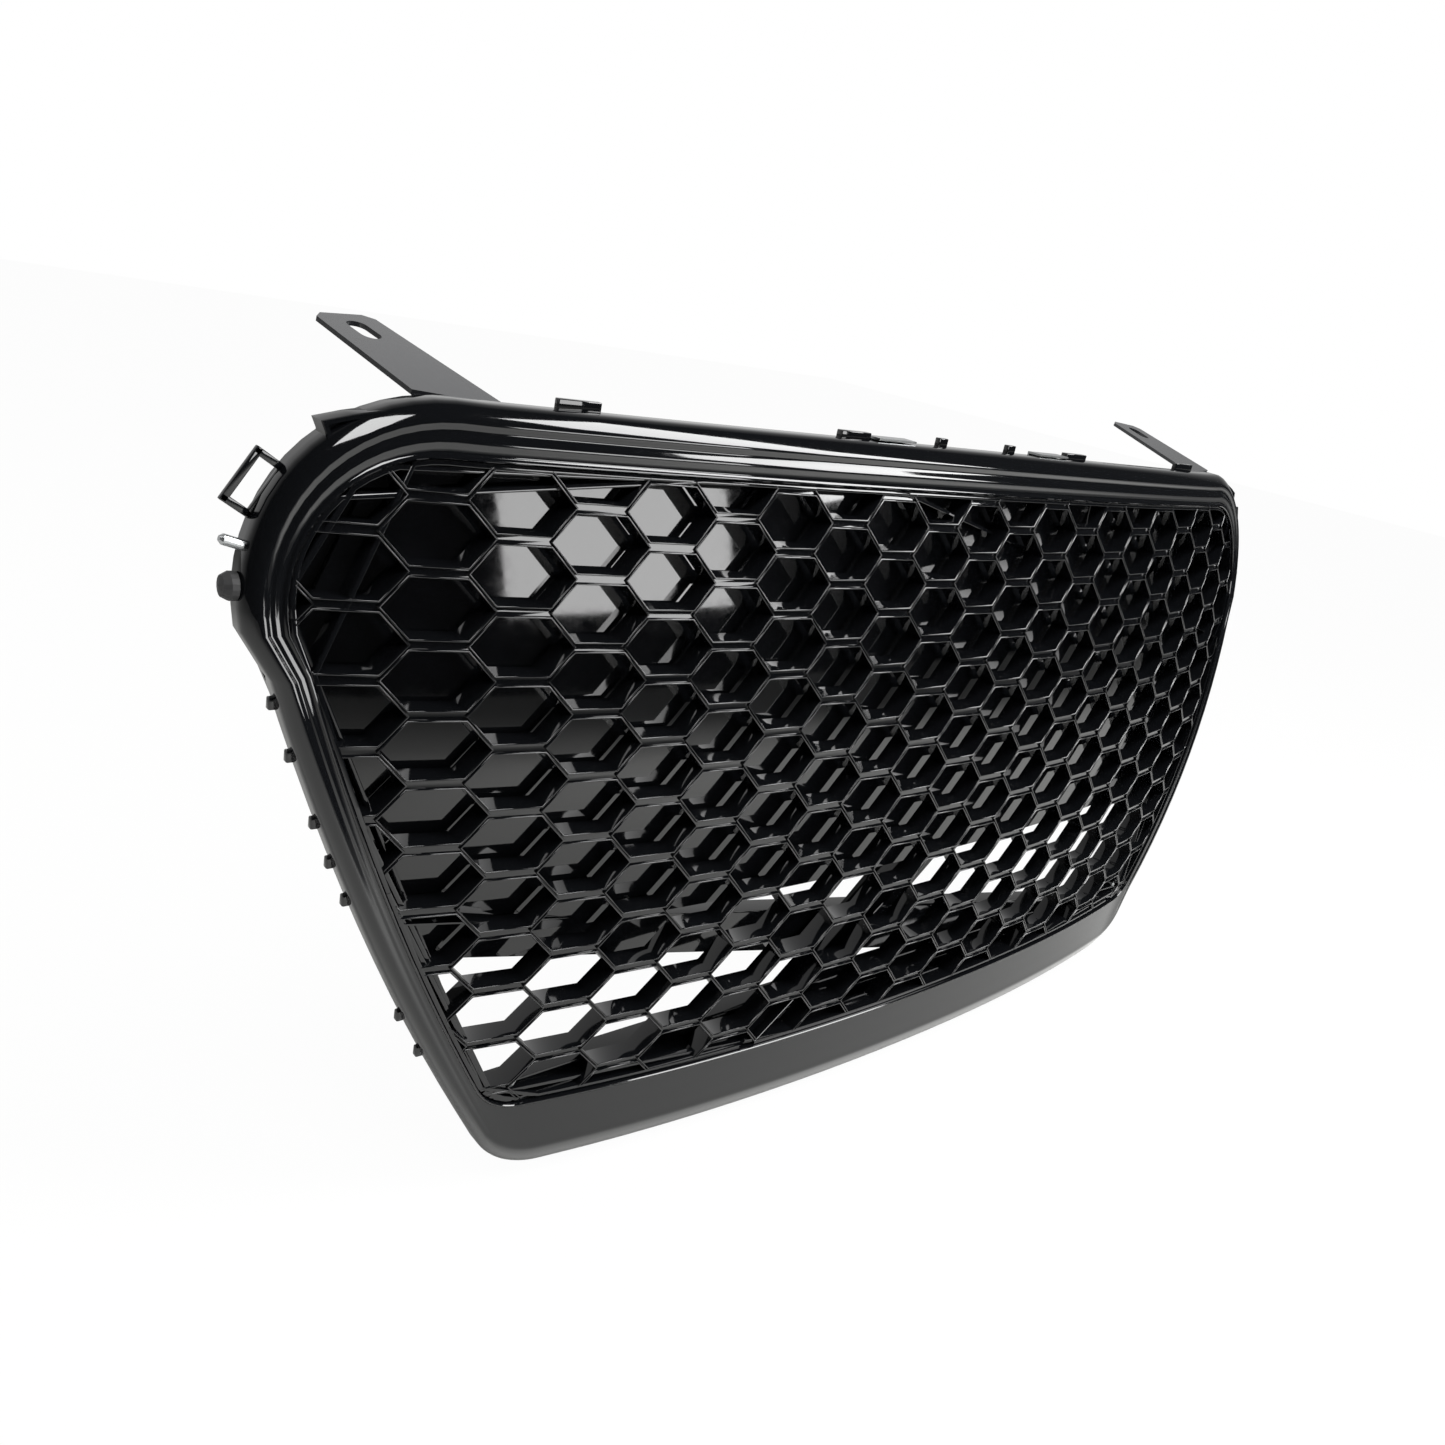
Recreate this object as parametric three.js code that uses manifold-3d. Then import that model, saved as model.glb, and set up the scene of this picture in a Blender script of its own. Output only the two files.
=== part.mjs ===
// Front grille: a moulded honeycomb insert in a bowed frame, closed over its upper rows by a
// blanking plate and carried by two stamped steel brackets. Millimetres, +Z up, +Y to the back.
import * as THREE from "three";
import { mergeVertices } from "three/addons/utils/BufferGeometryUtils.js";
import Module from "manifold-3d";

// Face: how far back the front surface lies at each place across and up the grille.
const faceHalfWidth = 446;
const faceHalfHeight = 200;
const rake = 0.118;
const planSag = 34.8;
const cornerSag = 17.7;
const heightSag = 19.6;

// Outer outline of the frame.
const topEdge = 194;
const topCrown = 5;
const bottomEdge = -230;
const bottomCrown = 8;
const sideAtMiddle = 415.5;
const sideLean = 0.345;
const sideBow = 0.0006;
const topCornerRadius = 95;
const bottomCornerRadius = 46;

// Frame section: widths of the top, side and bottom members and the depth of their flanges.
const topMember = 25;
const sideMember = 16;
const bottomMember = 49;
const frameWall = 2.8;
const flangeDepth = 12;
const innerWallDepth = 10;

// Honeycomb insert.
const cellPitch = 33;
const columnPitch = 40.5;
const columns = 21;
const topRowBelowFrame = 20.5;
const flatHalf = 12.7;
const flatRib = 5.6;
const slantRib = 2.5;
const insertDepth = 14;
const insertRim = 2.6;
const smallestOpening = 40;

// Blanking plate, brackets, fasteners and fits.
const plateThickness = 2.5;
const plateRows = 6.5;
const plateLap = 11;
const plateInset = 18;
const plateSide = 13;
const bracketInset = 68.5;
const bracketFootHeight = 10;
const bracketBaseWidth = 42;
const bracketEndWidth = 34;
const bracketThickness = 2.5;
const bracketReach = 92;
const bracketRise = 22;
const bracketSplay = 19;
const flushStep = 0.05;
const slotLength = 22;
const slotWidth = 11;
const slotFromEnd = 20;
const screwRadius = 1.5;
const screwHeadRadius = 3.8;
const screwHeadHeight = 2.4;
const frameScrewLength = 8;
const plateScrewLength = 5;
const bossRadius = 3.6;
const bracketScrewSpread = 12;
const bracketScrewLength = 11;
const outerScrewInset = 145.5;
const topScrewPlace = 30;
const bottomScrewPlace = 90;
const upperSideScrewDrop = 146;
const lowerSideScrewRise = 140;
const plateScrewPlace = 200;
const plateScrewColumn = 6;
const cornerScrewLength = 7;
const cornerScrewInset = 19.24;
const cornerScrewRise = 16;
const footFace = 6;
const footWidth = 34;
const footHeight = 18;
const pilotStart = 2.4;
const bottomSkin = -0.6;
const blockWidth = 74;
const blockHeight = 85;
const backGap = 1;
const roundSides = 8;
const gap = 0.4;
const screwGap = 0.3;
const flangeGap = 1.3;

// Edge fittings: moulded tabs, spring clips, corner loops, locating pins and rubber stops.
const clipWidth = 33;
const clipPlace = 80;
const clipWall = 1.2;
const clipLeg = 9;
const notchHeight = 9;
const tabInset = 124.5;
const tabSize = [25, 4, 5];
const wedgePlace = 112;
const wedgeSize = [24, 5, 4];
const nubPlace = 35;
const nubSize = [8, 4, 5];
const snapDrops = [142, 166, 198, 218, 238, 306, 330];
const fittingInset = 0.5;
const snapHeight = 4;
const snapWidth = 8;
const snapDepth = 6;
const loopDrop = 51;
const loopReach = 16;
const loopHeight = 28;
const loopSink = 1;
const loopBar = 3.5;
const lugFront = 1;
const lugBack = 10.5;
const lugInset = 41.5;
const lugPoints = [[0, -18], [0, -9], [27, -14.6], [39.5, -18.5], [37.5, -28], [42, -38.5], [30, -36]];
const fittingDepth = 6.2;
const pinDrop = 74;
const pinRadius = 2.5;
const pinReach = 11;
const stopDrop = 91;
const stopRadius = 6.5;
const stopReach = 8;
const stopStem = 2.2;

// Places worked out from the sizes above.
const bracketPlace = sideAtMiddle - bracketInset;
const tabPlace = sideAtMiddle - tabInset;
const outerScrewPlace = sideAtMiddle - outerScrewInset;
const loopPlace = topEdge - loopDrop;
const pinPlace = topEdge - pinDrop;
const stopPlace = topEdge - stopDrop;
const topRow = topEdge - topMember - topRowBelowFrame;
const lowRib = topRow - plateRows * cellPitch;
const plateBottom = lowRib - plateLap;
const plateBack = insertDepth + backGap + plateThickness;

const wasm = await Module();
wasm.setup();

const glossBlack = { color: 0x0d0e10, roughness: 0.12, metalness: 0 };
const coatedSteel = { color: 0x2b2d30, roughness: 0.3, metalness: 0.7 };
const zincSteel = { color: 0x8d9196, roughness: 0.35, metalness: 0.9 };
const rubber = { color: 0x1b1b1c, roughness: 0.8, metalness: 0 };

const grille = new THREE.Group();

function face(x, z) {
  const u = x / faceHalfWidth;
  const v = z / faceHalfHeight;
  return rake * z + planSag * u * u + cornerSag * u ** 4 + heightSag * v * v;
}

// Outward (forward) unit normal of the face.
function faceNormal(x, z) {
  const step = 0.5;
  const slopeX = (face(x + step, z) - face(x - step, z)) / (2 * step);
  const slopeZ = (face(x, z + step) - face(x, z - step)) / (2 * step);
  return new THREE.Vector3(slopeX, -1, slopeZ).normalize();
}

// Closed outline, anticlockwise from the front, moved in by separate amounts at each member.
function outline(top, side, bottom) {
  const topAt = (x) => topEdge - top - topCrown * (x / sideAtMiddle) ** 2;
  const bottomAt = (x) => bottomEdge + bottom + bottomCrown * (x / sideAtMiddle) ** 2;
  const sideAt = (z) => sideAtMiddle - side + sideLean * z - sideBow * z * z;
  const corner = (edgeAt, radius, up) => {
    let x = sideAtMiddle;
    let z = edgeAt(x);
    for (let i = 0; i < 20; i++) {
      x = sideAt(z);
      z = edgeAt(x);
    }
    const tip = new THREE.Vector2(x, z);
    const along = new THREE.Vector2(-1, edgeAt(x - 1) - z).normalize();
    const down = new THREE.Vector2(sideAt(z - up) - x, -up).normalize();
    const half = Math.acos(along.dot(down)) / 2;
    const reach = radius / Math.tan(half);
    const first = tip.clone().addScaledVector(down, reach);
    const last = tip.clone().addScaledVector(along, reach);
    const inward = along.clone().add(down).normalize();
    const centre = tip.clone().addScaledVector(inward, radius / Math.sin(half));
    const from = Math.atan2(first.y - centre.y, first.x - centre.x);
    const to = Math.atan2(last.y - centre.y, last.x - centre.x);
    const turns = 6;
    const points = [];
    for (let i = 0; i <= turns; i++) {
      const a = from + ((to - from) * i) / turns;
      points.push([centre.x + radius * Math.cos(a), centre.y + radius * Math.sin(a)]);
    }
    return points;
  };
  const upper = corner(topAt, Math.max(8, topCornerRadius - top), 1);
  const lower = corner(bottomAt, Math.max(8, bottomCornerRadius - side), -1).reverse();
  const right = [...lower];
  const sideSteps = 7;
  const [startZ, endZ] = [lower.at(-1)[1], upper[0][1]];
  for (let i = 1; i < sideSteps; i++) {
    const z = startZ + ((endZ - startZ) * i) / sideSteps;
    right.push([sideAt(z), z]);
  }
  right.push(...upper);
  const edgeSteps = 12;
  const across = (edgeAt, from) => {
    const row = [];
    for (let i = 1; i < edgeSteps; i++) {
      const x = from - (2 * from * i) / edgeSteps;
      row.push([x, edgeAt(x)]);
    }
    return row;
  };
  const left = right.map(([x, z]) => [-x, z]).reverse();
  const topRun = across(topAt, upper.at(-1)[0]);
  const bottomRun = across(bottomAt, -lower[0][0]);
  return [...right, ...topRun, ...left, ...bottomRun];
}

// Half the width of an outline at height z.
function halfWidthAt(points, z) {
  for (let i = 0; i < points.length; i++) {
    const [ax, az] = points[i];
    const [bx, bz] = points[(i + 1) % points.length];
    if (ax > 0 && bx > 0 && az !== bz && (z - az) * (z - bz) <= 0) {
      return ax + ((bx - ax) * (z - az)) / (bz - az);
    }
  }
  return 0;
}

function add(name, geometry, look) {
  const mesh = new THREE.Mesh(geometry, new THREE.MeshStandardMaterial(look));
  mesh.name = name;
  grille.add(mesh);
  return mesh;
}

function solid(geometry) {
  const bare = geometry.index ? geometry.toNonIndexed() : geometry.clone();
  bare.deleteAttribute("normal");
  bare.deleteAttribute("uv");
  const merged = mergeVertices(bare, 1e-3);
  return new wasm.Manifold(
    new wasm.Mesh({
      numProp: 3,
      vertProperties: new Float32Array(merged.attributes.position.array),
      triVerts: new Uint32Array(merged.index.array),
    }),
  );
}

function geometryOf(made) {
  const { vertProperties, triVerts } = made.getMesh();
  return new THREE.BufferGeometry()
    .setAttribute("position", new THREE.BufferAttribute(vertProperties, 3))
    .setIndex(new THREE.BufferAttribute(triVerts, 1));
}

// Moves a flat solid (front at y = 0) back onto the bowed face. It is cut into blocks first, so
// that no facet spans far enough to leave the curve.
function bow(flat) {
  let bowed;
  const across = sideAtMiddle + 2 * topCornerRadius;
  for (let x = -across; x < across; x += blockWidth) {
    for (let z = bottomEdge; z < topEdge; z += blockHeight) {
      const block = new THREE.BoxGeometry(blockWidth, 8 * insertDepth, blockHeight);
      block.translate(x + blockWidth / 2, 0, z + blockHeight / 2);
      const strip = flat.intersect(solid(block));
      if (strip.isEmpty()) continue;
      const geometry = geometryOf(strip);
      const p = geometry.attributes.position;
      for (let i = 0; i < p.count; i++) {
        p.setY(i, p.getY(i) + face(p.getX(i), p.getZ(i)));
      }
      bowed = bowed ? bowed.add(solid(geometry)) : solid(geometry);
    }
  }
  return bowed;
}

// Extrudes an (x, z) outline with holes from depth `front` to depth `back`.
function sheet(points, holes, front, back) {
  const anticlockwise = (list) => {
    const run = list.map(([x, z]) => new THREE.Vector2(x, z));
    return THREE.ShapeUtils.isClockWise(run) ? run.reverse() : run;
  };
  const shape = new THREE.Shape(anticlockwise(points));
  for (const hole of holes) shape.holes.push(new THREE.Path(anticlockwise(hole)));
  const made = new THREE.ExtrudeGeometry(shape, { depth: back - front, bevelEnabled: false });
  return made.rotateX(Math.PI / 2).translate(0, back, 0);
}

// A closed patch that follows the face between two depths, from a grid of rows.
function patch(rowAt, rows, steps, front, back) {
  const position = [];
  const index = [];
  for (const depth of [front, back]) {
    for (let j = 0; j <= rows; j++) {
      const { z, from, to } = rowAt(j / rows);
      for (let i = 0; i <= steps; i++) {
        const x = from + ((to - from) * i) / steps;
        position.push(x, face(x, z) + depth, z);
      }
    }
  }
  const at = (layer, j, i) => layer * (rows + 1) * (steps + 1) + j * (steps + 1) + i;
  const quad = (a, b, c, d) => index.push(a, b, c, a, c, d);
  for (let j = 0; j < rows; j++) {
    for (let i = 0; i < steps; i++) {
      quad(at(0, j, i), at(0, j, i + 1), at(0, j + 1, i + 1), at(0, j + 1, i));
      quad(at(1, j, i), at(1, j + 1, i), at(1, j + 1, i + 1), at(1, j, i + 1));
    }
    quad(at(0, j, 0), at(0, j + 1, 0), at(1, j + 1, 0), at(1, j, 0));
    quad(at(0, j, steps), at(1, j, steps), at(1, j + 1, steps), at(0, j + 1, steps));
  }
  for (let i = 0; i < steps; i++) {
    quad(at(0, 0, i), at(1, 0, i), at(1, 0, i + 1), at(0, 0, i + 1));
    quad(at(0, rows, i), at(0, rows, i + 1), at(1, rows, i + 1), at(1, rows, i));
  }
  const made = new THREE.BufferGeometry();
  made.setAttribute("position", new THREE.Float32BufferAttribute(position, 3));
  return made.setIndex(index);
}

// Turns a geometry built along +Y so that it stands on the face at (x, z), `depth` behind it.
function seat(geometry, x, z, depth) {
  const inward = faceNormal(x, z).negate();
  const turn = new THREE.Quaternion().setFromUnitVectors(new THREE.Vector3(0, 1, 0), inward);
  return geometry.applyQuaternion(turn).translate(x, face(x, z) + depth, z);
}

// A pan head screw: the head behind the seat at y = 0, the shank towards the front.
function screw(length) {
  const profile = [
    [0, -length],
    [screwRadius * 0.6, -length],
    [screwRadius, -length + 1],
    [screwRadius, screwGap],
    [screwHeadRadius, screwGap],
    [screwHeadRadius, screwGap + screwHeadHeight * 0.5],
    [screwHeadRadius * 0.6, screwGap + screwHeadHeight],
    [0, screwGap + screwHeadHeight],
  ];
  return new THREE.LatheGeometry(
    profile.map(([r, y]) => new THREE.Vector2(r, y)),
    roundSides,
  );
}

const rod = (radius, from, to) =>
  new THREE.CylinderGeometry(radius, radius, to - from, roundSides)
    .translate(0, (from + to) / 2, 0);
const bore = (from, to) => rod(screwRadius + gap, from, to);
const spotFace = () => rod(screwHeadRadius + gap, 0, 2 * screwHeadHeight);

// Frame. Each ring of the section is [inset at top, side, bottom, depth at top, side, bottom].
const flangeBack = flangeDepth;
const section = [
  [0, 0, 0, flangeBack, flangeBack, flangeBack],
  [0, 0, 0, 5, 5, 6],
  [1.4, 1.4, 2, 0.5, 0.5, 1],
  [4.5, 4, 7, -3, -2.8, -3.5],
  [8.5, 7, 17, -3.4, -3.2, -6],
  [11.5, 9.5, 20, -1.6, -1.6, -5.6],
  [16.5, 12, 34, -1.8, -1, -3.2],
  [topMember - 3, sideMember - 2, bottomMember - 3, -1.2, -0.8, -1.4],
  [topMember, sideMember, bottomMember, 0.4, 0.4, 0.4],
  [topMember, sideMember, bottomMember, innerWallDepth, innerWallDepth, innerWallDepth],
  [topMember - 2, sideMember - 2, bottomMember - 2, innerWallDepth, innerWallDepth, innerWallDepth],
  [topMember - 2.4, sideMember - 2.4, bottomMember - 2.6, 2.4, 2.6, 2.4],
  [16.5, 11, 34, 1.4, 2, 0.2],
  [8.5, 7, 18, 0.4, 0.8, -2.4],
  [frameWall, frameWall, frameWall + 3, 3.4, 3.4, 1.4],
  [frameWall, frameWall, frameWall, flangeBack, flangeBack, flangeBack],
];
const rings = section.map(([top, side, bottom]) => outline(top, side, bottom));
const stations = rings[0].length;
const outer = rings[0];
const [lowest, highest] = [
  Math.min(...outer.map(([, z]) => z)) + bottomCornerRadius,
  Math.max(...outer.map(([, z]) => z)) - topCornerRadius,
];
const share = (value, from, to) => THREE.MathUtils.smoothstep(value, from, to);
const framePosition = [];
const frameIndex = [];
section.forEach(([, , , top, side, bottom], ring) => {
  rings[ring].forEach(([x, z], k) => {
    const upper = share(outer[k][1], highest, topEdge - topCrown);
    const lower = share(-outer[k][1], -lowest, -bottomEdge - bottomCrown);
    const depth = side + (top - side) * upper + (bottom - side) * lower;
    framePosition.push(x, face(x, z) + depth, z);
  });
});
section.forEach((_, ring) => {
  const next = (ring + 1) % section.length;
  for (let k = 0; k < stations; k++) {
    const turn = (k + 1) % stations;
    const [a, b] = [ring * stations + k, ring * stations + turn];
    const [c, d] = [next * stations + turn, next * stations + k];
    frameIndex.push(a, b, c, a, c, d);
  }
});
const frameShell = new THREE.BufferGeometry();
frameShell.setAttribute("position", new THREE.Float32BufferAttribute(framePosition, 3));
frameShell.setIndex(frameIndex);

// Side edge of the frame, and how far its top and bottom edges curve.
const sideEdge = (z) => sideAtMiddle + sideLean * z - sideBow * z * z;
const topDrop = (x) => topCrown * (x / sideAtMiddle) ** 2;
const bottomRise = (x) => bottomCrown * (x / sideAtMiddle) ** 2;

// Screw places on the bosses behind the frame, as [x, z].
const frameScrewPlaces = [];
for (const x of [-outerScrewPlace, -topScrewPlace, topScrewPlace, outerScrewPlace]) {
  frameScrewPlaces.push([x, topEdge - topMember / 2 - topDrop(x)]);
}
for (const x of [-outerScrewPlace, -bottomScrewPlace, bottomScrewPlace, outerScrewPlace]) {
  frameScrewPlaces.push([x, bottomEdge + bottomMember / 2 + 3 + bottomRise(x)]);
}
for (const z of [bottomEdge + lowerSideScrewRise, topEdge - upperSideScrewDrop]) {
  const x = sideEdge(z) - sideMember / 2 - gap;
  frameScrewPlaces.push([-x, z], [x, z]);
}
const footMiddle = topEdge - topDrop(bracketPlace) - bracketFootHeight;
const bracketScrewPlaces = [];
for (const side of [-1, 1]) {
  for (const offset of [-bracketScrewSpread, bracketScrewSpread]) {
    bracketScrewPlaces.push([side * (bracketPlace + offset), footMiddle]);
  }
}

// A boss behind the frame's skin, with a blind hole on the line of its screw.
let frame = solid(frameShell);
function addBoss(x, z, depth) {
  const skin = z < bottomEdge + bottomMember ? bottomSkin : 0;
  const boss = rod(bossRadius, skin - depth, innerWallDepth - depth);
  const pilot = bore(pilotStart - depth, gap);
  frame = frame.add(solid(seat(boss, x, z, depth)));
  frame = frame.subtract(solid(seat(pilot, x, z, depth)));
}
const footBack = insertDepth + backGap + bracketThickness;
for (const [x, z] of frameScrewPlaces) addBoss(x, z, insertDepth);
for (const [x, z] of bracketScrewPlaces) addBoss(x, z, footBack);

// Outward direction, in x and z, of the frame's right hand edge at height z.
function edgeNormal(z) {
  const slope = (halfWidthAt(outer, z + 1) - halfWidthAt(outer, z - 1)) / 2;
  return [1 / Math.hypot(1, slope), -slope / Math.hypot(1, slope)];
}

// Tabs moulded on the top flange, the lug that fills each upper corner, and the loop beside it.
function topTab(x, [width, height, depth]) {
  const z = topEdge - topDrop(x);
  const tab = new THREE.BoxGeometry(width, depth, height + frameWall / 2);
  const y = face(x, z) + flangeDepth - depth / 2 - fittingInset;
  return tab.translate(x, y, z + height / 2 - frameWall / 4);
}
for (const side of [-1, 1]) {
  frame = frame.add(solid(topTab(side * tabPlace, tabSize)));
  frame = frame.add(solid(topTab(side * wedgePlace, wedgeSize)));
  frame = frame.add(solid(topTab(side * nubPlace, nubSize)));
  const lugOutline = lugPoints.map(([x, z]) => [side * (sideAtMiddle - lugInset + x), topEdge + z]);
  const lug = sheet(lugOutline, [], lugFront, lugBack);
  const along = lug.attributes.position;
  for (let i = 0; i < along.count; i++) {
    along.setY(i, along.getY(i) + face(along.getX(i), along.getZ(i)));
  }
  frame = frame.add(solid(lug));
  for (const drop of snapDrops) {
    const z = topEdge - drop;
    const snap = new THREE.BoxGeometry(snapHeight + frameWall / 2, snapDepth, snapWidth);
    const x = side * (sideEdge(z) + snapHeight / 2 - frameWall / 4);
    const y = face(x, z) + flangeDepth - snapDepth / 2 - fittingInset;
    frame = frame.add(solid(snap.translate(x, y, z)));
  }
  const [outX, outZ] = edgeNormal(loopPlace);
  const root = halfWidthAt(outer, loopPlace);
  const start = -frameWall / 2 - loopSink;
  const box = (inset) => {
    const [near, far] = [start + inset, loopReach - inset];
    const half = loopHeight / 2 - inset;
    return [[near, -half], [far, -half], [far, half], [near, half]].map(([out, up]) => [
      side * (root + outX * out - outZ * up),
      loopPlace + outZ * out + outX * up,
    ]);
  };
  const made = sheet(box(0), [box(loopBar)], 0, frameWall);
  const back = face(root, loopPlace) + flangeDepth - frameWall - fittingInset;
  frame = frame.add(solid(made.translate(0, back, 0)));
}

// Corner screws hold the insert's feet from the front.
const cornerScrewZ = bottomEdge + bottomMember + cornerScrewRise;
const cornerScrewX = sideEdge(cornerScrewZ) - sideMember - cornerScrewInset;

// Honeycomb insert: every cell is a six sided opening, cut short at the rim.
function clip(cell, window) {
  let points = cell;
  window.forEach(([ax, az], k) => {
    const [bx, bz] = window[(k + 1) % window.length];
    const side = ([x, z]) => (bx - ax) * (z - az) - (bz - az) * (x - ax);
    const kept = [];
    points.forEach((p, i) => {
      const q = points[(i + 1) % points.length];
      const [sp, sq] = [side(p), side(q)];
      if (sp >= 0) kept.push(p);
      if (sp >= 0 !== sq >= 0) {
        const t = sp / (sp - sq);
        kept.push([p[0] + (q[0] - p[0]) * t, p[1] + (q[1] - p[1]) * t]);
      }
    });
    points = kept;
  });
  return points.filter((p, i) => {
    const q = points[(i + 1) % points.length];
    return Math.hypot(p[0] - q[0], p[1] - q[1]) > 0.05;
  });
}

const areaOf = (points) => Math.abs(THREE.ShapeUtils.area(
  points.map(([x, z]) => new THREE.Vector2(x, z)),
));

const insertEdge = outline(topMember + gap, sideMember + gap, bottomMember + gap);
const rim = gap + insertRim;
const window = outline(topMember + rim, sideMember + rim, bottomMember + rim);
const peak = columnPitch - flatHalf;
const slantX = peak - flatHalf;
const slantShift = (slantRib / 2) * Math.hypot(1, slantX / (cellPitch / 2));
const openHalfHeight = (cellPitch - flatRib) / 2;
const openFlat = flatHalf + ((flatRib / 2) * slantX) / (cellPitch / 2) - slantShift;
const openPeak = peak - slantShift;
const openings = [];
const halfColumns = (columns - 1) / 2;
const rows = Math.ceil((topRow - bottomEdge) / cellPitch);
for (let column = -halfColumns; column <= halfColumns; column++) {
  const odd = Math.abs(column) % 2;
  for (let row = -1; row <= rows; row++) {
    const x = column * columnPitch;
    const z = topRow - row * cellPitch + (odd * cellPitch) / 2;
    const cell = [
      [x + openFlat, z + openHalfHeight],
      [x - openFlat, z + openHalfHeight],
      [x - openPeak, z],
      [x - openFlat, z - openHalfHeight],
      [x + openFlat, z - openHalfHeight],
      [x + openPeak, z],
    ];
    const open = clip(cell, window);
    if (open.length > 2 && areaOf(open) > smallestOpening) openings.push(open);
  }
}
const flangeOut = frameWall + flangeGap;
const flangeEdge = outline(flangeOut, flangeOut, flangeOut);
const under = gap + 1;
const underRim = outline(topMember + under, sideMember + under, bottomMember + under);
let honeycomb = solid(sheet(insertEdge, [], 0, insertDepth));
for (const open of openings) {
  honeycomb = honeycomb.subtract(solid(sheet(open, [], -1, insertDepth + 1)));
}
const insertBack = innerWallDepth + backGap;
const flange = solid(sheet(flangeEdge, [underRim], insertBack, insertDepth));
let insert = honeycomb.add(flange);
for (const side of [-1, 1]) {
  const foot = new THREE.BoxGeometry(footWidth, insertDepth - footFace, footHeight);
  foot.translate(side * cornerScrewX, (insertDepth + footFace) / 2, cornerScrewZ);
  const within = solid(sheet(insertEdge, [], 0, insertDepth));
  insert = insert.add(solid(foot).intersect(within));
}
insert = bow(insert);

// Blanking plate behind the upper rows, screwed to the insert's flange.
const plateOutline = outline(plateInset, plateSide, 0);
const plateFront = insertDepth + backGap;
const plateTop = topEdge - plateInset - topCrown;
const plateRow = (t) => {
  const z = plateBottom + (plateTop - plateBottom) * Math.sin((t * Math.PI) / 2);
  const half = halfWidthAt(plateOutline, z);
  return { z, from: -half, to: half };
};
let plate = solid(patch(plateRow, 12, 24, plateFront, plateBack));
const plateScrewPlaces = [];
for (const x of [-plateScrewPlace, 0, plateScrewPlace]) {
  plateScrewPlaces.push([x, topEdge - topMember + 3 - topDrop(x)]);
}
for (const column of [-plateScrewColumn, 0, plateScrewColumn]) {
  plateScrewPlaces.push([column * columnPitch, lowRib]);
}

// Brackets: a foot behind the insert's flange, and an arm that reaches back to the body.
function bracket() {
  const footFront = insertDepth + backGap;
  const top = footMiddle + bracketFootHeight;
  const bottom = footMiddle - bracketFootHeight / 2;
  const half = bracketBaseWidth / 2;
  const footRow = (t) => ({
    z: bottom + (top - bottom) * t,
    from: bracketPlace - half,
    to: bracketPlace + half,
  });
  const foot = solid(patch(footRow, 2, 4, footFront, footFront + bracketThickness));
  const slope = (face(bracketPlace + 1, top) - face(bracketPlace - 1, top)) / 2;
  const along = new THREE.Vector3(bracketSplay, bracketReach, bracketRise);
  const reach = along.length();
  along.normalize();
  const across = new THREE.Vector3(1, 0, 0).addScaledVector(along, -along.x).normalize();
  const up = new THREE.Vector3().crossVectors(across, along);
  const skew = (slope * across.x - across.y) / (along.y - slope * along.x);
  const root = -bracketThickness / 2;
  const chamfer = 5;
  const tip = bracketEndWidth / 2;
  const shape = new THREE.Shape();
  shape.moveTo(-half, root - skew * half);
  shape.lineTo(half, root + skew * half);
  shape.lineTo(tip, reach - chamfer);
  shape.lineTo(tip - chamfer, reach);
  shape.lineTo(chamfer - tip, reach);
  shape.lineTo(-tip, reach - chamfer);
  const slot = new THREE.Path();
  const slotHalf = (slotLength - slotWidth) / 2;
  slot.absarc(0, reach - slotFromEnd + slotHalf, slotWidth / 2, 0, Math.PI);
  slot.absarc(0, reach - slotFromEnd - slotHalf, slotWidth / 2, Math.PI, 2 * Math.PI);
  shape.holes.push(slot);
  const arm = new THREE.ExtrudeGeometry(shape, {
    depth: bracketThickness,
    bevelEnabled: false,
    curveSegments: 8,
  });
  arm.applyMatrix4(new THREE.Matrix4().makeBasis(across, along, up));
  const middle = footFront + bracketThickness / 2;
  arm.translate(bracketPlace, face(bracketPlace, top) + middle, top - bracketThickness);
  // The foot's top edge is trimmed flush with the arm, so that the arm's upper face is clear.
  const over = new THREE.BoxGeometry(2 * bracketBaseWidth, 2 * reach, bracketReach);
  over.translate(0, 0, bracketThickness - flushStep + bracketReach / 2);
  over.applyMatrix4(new THREE.Matrix4().makeBasis(across, along, up));
  over.translate(bracketPlace, face(bracketPlace, top) + middle, top - bracketThickness);
  return foot.subtract(solid(over)).add(solid(arm));
}

function mirrored(geometry) {
  const flat = geometry.toNonIndexed().scale(-1, 1, 1);
  const p = flat.attributes.position;
  for (let i = 0; i < p.count; i += 3) {
    const first = new THREE.Vector3().fromBufferAttribute(p, i);
    const second = new THREE.Vector3().fromBufferAttribute(p, i + 1);
    p.setXYZ(i, second.x, second.y, second.z);
    p.setXYZ(i + 1, first.x, first.y, first.z);
  }
  return flat;
}

const rightBracket = bracket();
const pieces = {
  frame,
  insert,
  plate,
  rightBracket,
  leftBracket: solid(mirrored(geometryOf(rightBracket))),
};

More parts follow.
